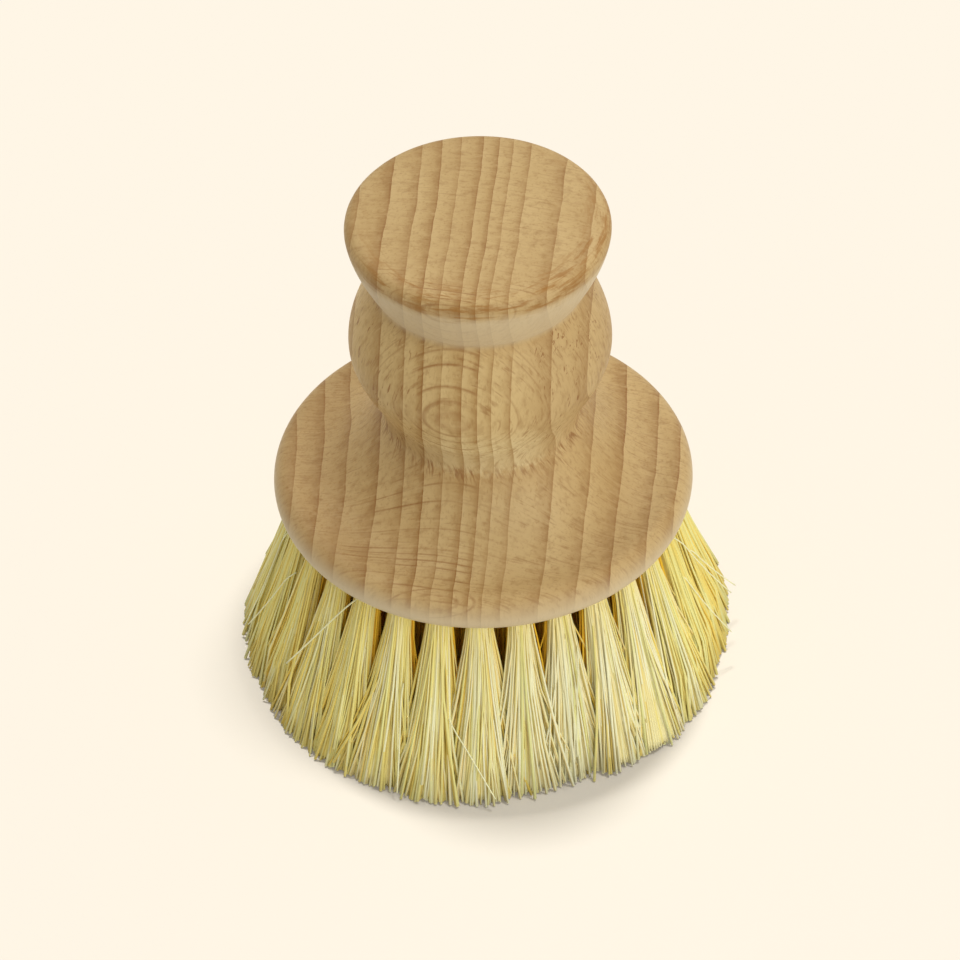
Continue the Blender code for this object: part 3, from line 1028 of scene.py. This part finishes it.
def bundle_core(settings, ring, lean, fan, sway, draw):
    """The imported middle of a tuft: a fluted fan, closed at both ends.

    At a turn and a share of the free length the surface is the root circle times
    a size, times the fan factor taken with the share, times 1 plus a rib wave
    and a lump wave. A rib's height differs from rib to rib, and a lump is a sum
    of slow cosines that drift down the tuft. Both are lower at the root.
    """
    columns = CORE_RIBS * RIB_POINTS
    turn = np.linspace(0, 2 * np.pi, columns, endpoint=False)
    height = np.repeat(draw.uniform(*RIB_HEIGHTS, CORE_RIBS), RIB_POINTS)
    slow = draw.uniform(0, 2 * np.pi, LUMPS)
    share = CORE_SHARES[:, None]
    rib = -np.cos(turn * CORE_RIBS)[None] * height[None] * RIB_DEPTH
    lump = sum(np.cos(turn * (wave + 2) + slow[wave] + share * (wave - 2)) for wave in range(LUMPS))
    relief = (rib + lump * LUMP_DEPTH) * (ROOT_RELIEF + (1 - ROOT_RELIEF) * share)
    root = np.stack([np.cos(turn), np.sin(turn)], axis=-1) * ROOT_SPREAD
    size = CORE_SIZE * (1 + relief)
    flat = root[None] * size[..., None] * (1 + (fan - 1) * share[..., None] ** FAN_BEND)
    flat += sway * share[..., None] ** CROSSING_BEND
    middle = flat[-1].mean(axis=0)
    flat[-1] = middle + (flat[-1] - middle) * CAP_SIZE
    free = (settings.block.underside_level + math.sin(lean) * flat[-1, :, 0] - CORE_RISE) / math.cos(lean)
    level = -free[None] * share
    level[0] = CORE_TOP
    points = np.concatenate([flat, level[..., None]], axis=-1).reshape(-1, 3)
    rows = len(CORE_SHARES)
    last = (rows - 1) * columns
    faces = ring_faces(rows, columns).tolist()
    faces += [tuple(range(columns)), tuple(range(last + columns - 1, last - 1, -1))]
    deep = np.clip(SIDE_DEPTH - np.cos(turn), 0, 1) if ring[1] == OUTER_NUMBER else np.ones(columns)
    return points, faces, {
        "shade": np.tile(np.repeat(draw.uniform(0, 1, CORE_RIBS), RIB_POINTS), rows),
        "deep": np.tile(deep, rows),
        "buried": CORE_BURIED,
        "along": np.repeat(CORE_SHARES, columns),
        "core": 1.0,
    }


def half_disc(count, draw):
    """Places over the half disc x > 0, closer packed outside: powers of even steps as
    radii, on golden-angle turns."""
    number = np.arange(2 * count) + 0.5
    radius = ROOT_SPREAD * (number / (2 * count)) ** OUTWARD_PACKING
    turn = number * np.pi * (3 - np.sqrt(5))
    x, y = radius * np.cos(turn), radius * np.sin(turn)
    keep = np.argsort(-x)[:count]
    x = np.abs(x[keep]) + WIRE_GAP
    return x + draw.normal(0, ROOT_SCATTER, count), y[keep] + draw.normal(0, ROOT_SCATTER, count)


def bundle_lines(settings, lean, fan, sway, count, draw):
    """Centre lines of a tuft's folded fibres in the tuft's own frame.

    A fibre runs from one tip up into the hole, over the wire and down to its
    other tip. Below the wood its distance from the tuft's middle grows with a
    power of the share of its length up to the fan's half width, and it is drawn
    towards the nearest wisp. It also crosses its neighbours by an amount that
    grows with the share to the power 1.5, and has a bend and a slow wave of its
    own. Its length is what brings the tip to the trim level.
    """
    wisps = draw.uniform(-1, 1, (WISPS, 2)) * ROOT_SPREAD * WISP_REACH
    share = FREE_SHARES[None, :, None]
    x, y = half_disc(count, draw)
    legs = []
    for side in (1, -1):
        root = np.stack([side * x, y + draw.normal(0, LEG_SCATTER, count)], axis=-1)
        away = np.linalg.norm(root[:, None] - wisps[None], axis=-1)
        drawn = wisps[np.argmin(away, axis=1)] - root
        spread = (root * draw.uniform(*FOLLOWING, (count, 1)) + drawn * WISP_PULL) * fan - root
        cross = draw.normal(0, 1, (count, 2)) * CROSSING
        stray = draw.uniform(0, 1, (count, 1)) < STRAY_SHARE
        cross *= np.where(stray, STRAY_CROSSING, 1.0)
        bend = draw.normal(0, 1, (count, 2)) * BEND
        phase = draw.uniform(0, 2 * np.pi, (count, 1, 1))
        trim = TIP_GAP + settings.fibre.trim_scatter * draw.uniform(0, 1, count) ** TIP_BEND
        trim += (draw.uniform(0, 1, count) < SHORT_SHARE) * draw.uniform(*SHORT_BY, count) * MM
        wave = np.sin(phase + share * WAVE_TURN) * WAVE_HEIGHT * share
        flat = root[:, None] + spread[:, None] * share ** FAN_BEND
        flat = flat + (cross + sway)[:, None] * share ** CROSSING_BEND
        flat = flat + bend[:, None] * (share - share ** 2) * 2 + wave
        free = (settings.block.underside_level + math.sin(lean) * flat[:, 0, 0] - trim) / math.cos(lean)
        level = -free[:, None] * FREE_SHARES[None, :]
        legs.append(np.concatenate([flat, level[..., None]], axis=-1))
    wide = FOLD_WIDTH + x[:, None] * FOLD_WIDTH_SHARE
    tall = FOLD_HEIGHT + wide * FOLD_HEIGHT_SHARE
    over = (wide * np.cos(FOLD_TURNS), y[:, None] * FOLD_RUN_SHARE + 0 * FOLD_TURNS)
    fold = np.stack([*over, FOLD_LEVEL + tall * np.sin(FOLD_TURNS)], axis=-1)
    return np.concatenate([legs[0], fold, legs[1][:, ::-1]], axis=1), np.hypot(x, y) / ROOT_SPREAD


def trim_round(lines, radius):
    """Lines drawn in where they pass the trim radius: of what is beyond it, a share stays."""
    away = np.linalg.norm(lines[..., :2], axis=-1, keepdims=True)
    kept = radius + (away - radius) * TRIM_KEEPS
    flat = lines[..., :2] * np.where(away > radius, kept / away, 1.0)
    return np.concatenate([flat, lines[..., 2:]], axis=-1)


def thicken(lines, radius, sideways):
    """Closed tubes around centre lines: each corner is the line's point plus its radius
    times a turned direction square to the line."""
    along = np.gradient(lines, axis=1)
    along /= np.linalg.norm(along, axis=-1, keepdims=True)
    across = np.cross(along, sideways)
    across /= np.linalg.norm(across, axis=-1, keepdims=True)
    up = np.cross(along, across)
    cosine, sine = circle(FIBRE_SIDES)
    ring = across[:, :, None] * cosine[:, None] + up[:, :, None] * sine[:, None]
    points = lines[:, :, None] + ring * radius[..., None, None]
    count, stations = lines.shape[:2]
    last = (stations - 1) * FIBRE_SIDES
    tube = ring_faces(stations, FIBRE_SIDES)[:, ::-1].tolist()
    tube += [tuple(range(FIBRE_SIDES - 1, -1, -1)), tuple(range(last, last + FIBRE_SIDES))]
    faces = []
    for number in range(count):
        start = number * stations * FIBRE_SIDES
        faces += [tuple(corner + start for corner in face) for face in tube]
    return points.reshape(-1, 3), faces


def inwardness(lines, points):
    """For each corner of the tubes, 0 where it faces away from the bundle's middle line,
    1 where it faces it and a half at the sides: half of 1 less the cosine between."""
    corners = points.reshape(*lines.shape[:2], FIBRE_SIDES, 3)
    from_line = corners - lines[:, :, None]
    from_middle = lines - lines.mean(axis=0, keepdims=True)
    from_middle /= np.linalg.norm(from_middle, axis=-1, keepdims=True)
    from_line /= np.linalg.norm(from_line, axis=-1, keepdims=True)
    return ((1 - (from_line * from_middle[:, :, None]).sum(axis=-1)) / 2).ravel()


def wire_block():
    """The flat wire anchor: a box with its two ends in the sides of the hole."""
    corners = np.array([[x, y, z] for x in (-1, 1) for y in (-1, 1) for z in (-1, 1)]) * WIRE_HALF
    corners[:, 2] += WIRE_LEVEL
    faces = [(0, 1, 3, 2), (4, 6, 7, 5), (0, 4, 5, 1), (2, 3, 7, 6), (0, 2, 6, 4), (1, 5, 7, 3)]
    return corners, faces


def facing_near(facing, side, width):
    """1 for a tuft that faces a side, falling off as a bell; 0 for one that faces none."""
    return math.exp(-((1 - facing.dot(side)) / width)) if facing.length else 0.0


def bind_tuft(name, settings, ring, place, lean, count, seed, material):
    """One tuft: its folded fibres, core and wire, set at its place in the block.

    Where an outer tuft faces sets how far it flares, is held back and is drawn
    in by the trim, and how pale it is: paler towards the front lamp, a painted
    light, and darker at the right, a painted shade. The trim radius of a tuft is
    the brush's plus an uneven amount and a swell at the sides, less what draws it in.
    """
    fibre = settings.fibre
    outer = ring[1] == OUTER_NUMBER
    draw = np.random.default_rng(seed)
    facing = place.translation.to_2d().normalized() if outer else Vector((0, 0))
    flare = FLARE * max(0.0, place.translation.normalized().x) ** 2 if outer else 0.0
    fan = fan_factors(settings, ring, flare)
    held = -HELD_BACK * facing_near(facing, HELD_SIDE, HELD_WIDTH)
    sway = np.array([held, draw.normal(0, 1) * SWAY])
    # Painted light towards the front lamp and painted shade at the right, in the fibres' colour
    pale = PAINTED_LIGHT_RISE * max(0.0, facing.dot(PAINTED_LIGHT_SIDE)) ** PAINTED_LIGHT_BEND
    pale -= PAINTED_SHADE_RIGHT * max(0.0, facing.x) ** SIDE_BEND + EVEN_FALL
    pale += draw.normal(0, PALE_SCATTER)

    lines, packing = bundle_lines(settings, lean, fan, sway, count, draw)
    drawn_in = sum(facing_near(facing, side, SIDE_TRIM_WIDTH) for side in SIDE_TRIMS)
    uneven = draw.uniform(*TRIM_UNEVEN) + TRIM_SWELL * abs(facing.x) ** SIDE_BEND - TRIM_DRAWN * drawn_in
    edge = fibre.trim_radius + uneven * MM
    ragged = np.random.default_rng(seed + RAGGED_SEED).normal(0, TRIM_RAGGED, (count, 1, 1))
    lines = trim_round(carried(lines, place), np.minimum(edge + ragged, fibre.trim_radius + LOOSE_REACH))

    along = np.concatenate([FREE_SHARES, 0 * FOLD_TURNS, FREE_SHARES[::-1]])
    thick = fibre.fibre_radius * draw.uniform(*THICKNESS, (count, 1))
    radius = thick * (ROOT_THICKNESS + (1 - ROOT_THICKNESS) * along)
    points, faces = thicken(lines, radius, np.array(place.to_3x3()).T[1])
    core_points, core_faces, core = bundle_core(settings, ring, lean, fan, sway, draw)
    core["shade"] = core["shade"] + pale
    to_each = len(along) * FIBRE_SIDES
    inner_leg = np.repeat(np.arange(len(along)) > len(FREE_SHARES), FIBRE_SIDES)
    strands = {
        "shade": np.repeat(draw.uniform(0, 1, count) + pale, to_each),
        "green": np.repeat(draw.uniform(0, 1, count), to_each),
        "deep": np.tile(inner_leg, count) if outer else 1.0,
        "buried": np.repeat(1 - packing, to_each),
        "inward": inwardness(lines, points),
        "along": np.tile(np.repeat(along, FIBRE_SIDES), count),
    }
    wire_points, wire_faces = wire_block()
    parts = [
        (points, faces, strands),
        (trim_round(carried(core_points, place), edge - CORE_RISE), core_faces, core),
        (carried(wire_points, place), wire_faces, {"wire": 1.0}),
    ]
    points, faces, values = join_parts(parts, TUFT_KEYS)
    return mesh_object(name, points, faces, material, values)


def bind_ring(settings, ring_name, count, seed, material):
    """Every tuft of one ring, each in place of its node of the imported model."""
    ring = TUFT_RINGS[ring_name]
    tufts, number, _ = ring
    lean = settings.fibre.outer_splay * number / OUTER_NUMBER
    for index, place in enumerate(tuft_places(settings, tufts, number)):
        node = f"{ring_name}_{index + 1:02d}" if tufts > 1 else ring_name
        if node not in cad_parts:
            raise RuntimeError(f"the packed model has no {node}")
        item = bind_tuft(f"{node}_fibres", settings, ring, place, lean, count, seed + index, material)
        finish_piece(item, "fibre", node)


def shared_fibre_finish(settings):
    """The fibre finish, made once for all the fibre pieces."""
    return bpy.data.materials.get("plant_fibre") or fibre_finish(settings.fibre)


class DISHBRUSH_OT_bind_outer_tufts(bpy.types.Operator):
    """Bind the outer ring of fibre tufts"""

    bl_idname = "dish_brush.bind_outer_tufts"
    bl_label = "Bind Outer Tufts"

    def execute(self, context):
        settings = context.scene.dish_brush
        material = shared_fibre_finish(settings)
        bind_ring(settings, "outer_tuft", settings.fibre.folded_count, 100, material)
        return {"FINISHED"}


class DISHBRUSH_OT_bind_inside_tufts(bpy.types.Operator):
    """Bind the middle ring, the inner ring and the centre tuft"""

    bl_idname = "dish_brush.bind_inside_tufts"
    bl_label = "Bind Inside Tufts"

    def execute(self, context):
        settings = context.scene.dish_brush
        material = shared_fibre_finish(settings)
        for seed, ring_name in enumerate(("middle_tuft", "inner_tuft", "centre_tuft"), start=2):
            bind_ring(settings, ring_name, settings.fibre.inside_count, seed * 100, material)
        return {"FINISHED"}


# Loose fibres

# Single fibres that have worked loose and lie across the outer tufts: degrees
# round from the front and share of the way down where each starts and ends, and
# how far its end stands off the tufts
LOOSE_FIBRES = (
    (-41.0, 0.05, -60.5, 0.64, 0.8 * MM),
    (-11.0, 0.55, 1.0, 0.92, 0.7 * MM),
    (-24.0, 0.42, -21.5, 0.95, 0.5 * MM),
    (27.0, 0.25, 21.0, 0.78, 0.5 * MM),
    (72.0, 0.30, 78.0, 0.80, 2.4 * MM),
    (79.0, 0.20, 87.0, 0.72, 2.8 * MM),
    (84.0, 0.35, 93.0, 0.80, 2.8 * MM),
    (-74.0, 0.30, -81.0, 0.74, 1.8 * MM),
    (-90.0, 0.25, -84.0, 0.80, 1.4 * MM),
    (118.0, 0.15, 131.0, 0.75, 0.9 * MM),
    (164.0, 0.35, 152.0, 0.90, 0.6 * MM),
    (-166.0, 0.10, -157.0, 0.80, 0.8 * MM),
    (-128.0, 0.30, -137.0, 0.86, 0.7 * MM),
)
LOOSE_POINTS = 14
LOOSE_RADIUS = 0.12 * MM
LOOSE_REACH = 1.1 * MM
LOOSE_BEND = 1.25
LOOSE_SHADE = 0.9

# How deep a loose fibre starts, how far it comes out and over what share of it
LOOSE_SUNK = 0.7 * MM
LOOSE_OUT = 1.0 * MM
LOOSE_OUT_SHARE = 0.2


def loose_lines(settings):
    """Centre lines of the loose fibres, on the cone that the outer tufts fill.

    The cone's radius grows in a line with the share of the way down, as the
    tufts lean, and with a power of it, as they fan, up to the trim radius. A
    fibre starts inside the tufts, comes out within a fifth of its length and
    stands off by its own share squared of its last stand-off.
    """
    block, fibre = settings.block, settings.fibre
    run = np.linspace(0, 1, LOOSE_POINTS)
    start_turn, start_share, end_turn, end_share, stand_off = np.array(LOOSE_FIBRES).T[:, :, None]
    turn = np.radians(start_turn + (end_turn - start_turn) * run) + VIEW_TURN
    share = start_share + (end_share - start_share) * run ** LOOSE_BEND
    lean = block.underside_level * math.tan(fibre.outer_splay) * share
    fan = (TUFT_RINGS["outer_tuft"][2] - ROOT_SPREAD) * share ** FAN_BEND
    cone = outer_land(settings) - block.hole_radius + lean + ROOT_SPREAD + fan
    coming_out = np.minimum(run / LOOSE_OUT_SHARE, 1.0) * LOOSE_OUT - LOOSE_SUNK
    radius = np.minimum(cone, fibre.trim_radius) + coming_out + stand_off * run ** 2
    radius = np.minimum(radius, fibre.trim_radius + LOOSE_REACH)
    level = block.underside_level * (1 - share)
    return np.stack([radius * np.sin(turn), -radius * np.cos(turn), level], axis=-1)


class DISHBRUSH_OT_lay_loose_fibres(bpy.types.Operator):
    """Lay the loose fibres across the outer tufts"""

    bl_idname = "dish_brush.lay_loose_fibres"
    bl_label = "Lay Loose Fibres"

    def execute(self, context):
        settings = context.scene.dish_brush
        lines = loose_lines(settings)
        outward = lines[:, :1] * np.array([1.0, 1.0, 0.0])
        points, faces = thicken(lines, np.full(lines.shape[:2], LOOSE_RADIUS), outward)
        parts = [(points, faces, {"shade": LOOSE_SHADE, "along": 1.0})]
        points, faces, values = join_parts(parts, TUFT_KEYS)
        item = mesh_object("loose_fibres", points, faces, shared_fibre_finish(settings), values)
        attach(item, "root")
        return {"FINISHED"}


# Stage

CAMERA_PLACE = Matrix.Rotation(VIEW_TURN, 3, "Z") @ Vector((-0.533, -504.56, 518.08)) * MM
CAMERA_TARGET = Matrix.Rotation(VIEW_TURN, 3, "Z") @ Vector((-0.533, 0.0, 32.88)) * MM
CAMERA_ROLL = math.radians(-1.323)
SENSOR_WIDTH = 36.0
FLOOR_HALF = 3.0
FLOOR_FILL = 0.15
FLOOR_LIT = 0.50

# Lamps on the brush: degrees round from the front, degrees up from the floor and
# how many degrees each spans. Its setting gives its strength.
BRUSH_LAMPS = {"front_light": (39, 25, 60), "left_light": (-135, 60, 50), "right_light": (140, 48, 50)}

# Lamps on the floor alone, with their shares of its setting at the end
FLOOR_LAMPS = {"floor_back_light": (-170, 74, 7, 1.0), "floor_side_light": (110, 75, 9, 0.52)}


def add_sun(name, round_degrees, up_degrees, spread, strength):
    """A broad, distant lamp, placed by degrees round from the front and up from the floor."""
    lamp = bpy.data.lights.new(name, "SUN")
    lamp.energy = strength * math.pi
    lamp.angle = math.radians(spread)
    item = bpy.data.objects.new(name, lamp)
    tilt = Quaternion((1, 0, 0), math.radians(90 - up_degrees))
    item.rotation_mode = "QUATERNION"
    item.rotation_quaternion = Quaternion((0, 0, 1), math.radians(round_degrees) + VIEW_TURN) @ tilt
    bpy.context.scene.collection.objects.link(item)
    return item


def link_floor(lamp, floor, state):
    """Leave the floor out of a lamp's light, or let the lamp light the floor alone."""
    receivers = bpy.data.collections.new(f"{lamp.name}_receivers")
    receivers.objects.link(floor)
    receivers.collection_objects[0].light_linking.link_state = state
    lamp.light_linking.receiver_collection = receivers


def floor_finish(sizes):
    """A matt floor: its own pale colour to the camera, a quieter one to the brush."""
    finish = Finish("pale_floor", roughness=1.0, specular=0.0)
    pale = [part * FLOOR_LIT for part in sizes.floor_colour]
    lit = finish.node("ShaderNodeBsdfDiffuse", sockets={"Color": pale})
    plain = finish.node("ShaderNodeEmission", sockets={"Color": sizes.floor_colour, "Strength": FLOOR_FILL})
    seen = finish.node("ShaderNodeAddShader", sockets={0: plain, 1: lit})
    felt = finish.node("ShaderNodeBsdfDiffuse", sockets={"Color": sizes.floor_bounce})
    finish.surface("Material Output", felt, seen)
    finish.tree.nodes.remove(finish.shader)
    return finish.material


def light_world(sizes):
    """Even light all round, and the floor's colour behind it for the camera."""
    world = bpy.data.worlds.new("pale_room")
    world.use_nodes = True
    bpy.context.scene.world = world
    nodes = Nodes(world.node_tree)
    nodes.tree.nodes.remove(nodes.tree.nodes["Background"])
    white = {"Color": (1.0, 1.0, 1.0), "Strength": sizes.room_light}
    lit = nodes.node("ShaderNodeBackground", sockets=white)
    seen = nodes.node("ShaderNodeBackground", sockets={"Color": sizes.floor_colour})
    nodes.surface("World Output", lit, seen)


class DISHBRUSH_OT_lay_stage(bpy.types.Operator):
    """Set up the camera, the pale floor and the soft light"""

    bl_idname = "dish_brush.lay_stage"
    bl_label = "Lay Stage"

    def execute(self, context):
        sizes = context.scene.dish_brush.stage
        lens = bpy.data.cameras.new("catalogue_camera")
        lens.lens = sizes.lens
        lens.sensor_width = SENSOR_WIDTH
        camera = bpy.data.objects.new("catalogue_camera", lens)
        camera.location = CAMERA_PLACE
        aim = (CAMERA_TARGET - CAMERA_PLACE).to_track_quat("-Z", "Y")
        camera.rotation_mode = "QUATERNION"
        camera.rotation_quaternion = aim @ Quaternion((0, 0, 1), CAMERA_ROLL)
        context.scene.collection.objects.link(camera)
        context.scene.camera = camera
        context.scene.view_settings.view_transform = "Standard"

        corners = np.array([[-1, -1, 0], [1, -1, 0], [1, 1, 0], [-1, 1, 0]]) * FLOOR_HALF
        floor = mesh_object("pale_floor", corners, [(0, 1, 2, 3)], floor_finish(sizes))
        light_world(sizes)
        for name, place in BRUSH_LAMPS.items():
            link_floor(add_sun(name, *place, getattr(sizes, name)), floor, "EXCLUDE")
        for name, (*place, share) in FLOOR_LAMPS.items():
            link_floor(add_sun(name, *place, sizes.floor_light * share), floor, "INCLUDE")
        return {"FINISHED"}


class DISHBRUSH_PT_pieces(bpy.types.Panel):
    """Pieces of the dish brush"""

    bl_idname = "DISHBRUSH_PT_pieces"
    bl_label = "Dish Brush"
    bl_space_type = "VIEW_3D"
    bl_region_type = "UI"
    bl_category = "Dish Brush"

    def draw(self, context):
        for operator in OPERATORS:
            self.layout.operator(operator.bl_idname)
        settings = context.scene.dish_brush
        for group in (settings.block, settings.fibre, settings.stage):
            box = self.layout.box()
            for key in group.bl_rna.properties.keys():
                if key not in {"rna_type", "name"}:
                    box.prop(group, key)


OPERATORS = (
    DISHBRUSH_OT_lay_stage,
    DISHBRUSH_OT_turn_block,
    DISHBRUSH_OT_bind_outer_tufts,
    DISHBRUSH_OT_bind_inside_tufts,
    DISHBRUSH_OT_lay_loose_fibres,
)
GROUPS = (BlockSettings, FibreSettings, StageSettings, DishBrushSettings)


def register():
    for item in (*GROUPS, *OPERATORS, DISHBRUSH_PT_pieces):
        bpy.utils.register_class(item)
    bpy.types.Scene.dish_brush = bpy.props.PointerProperty(type=DishBrushSettings)


def unregister():
    del bpy.types.Scene.dish_brush
    for item in reversed((*GROUPS, *OPERATORS, DISHBRUSH_PT_pieces)):
        bpy.utils.unregister_class(item)


def main():
    """Register the add-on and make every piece."""
    register()
    bpy.ops.dish_brush.lay_stage()
    bpy.ops.dish_brush.turn_block()
    bpy.ops.dish_brush.bind_outer_tufts()
    bpy.ops.dish_brush.bind_inside_tufts()
    bpy.ops.dish_brush.lay_loose_fibres()


if __name__ == "__main__":
    main()
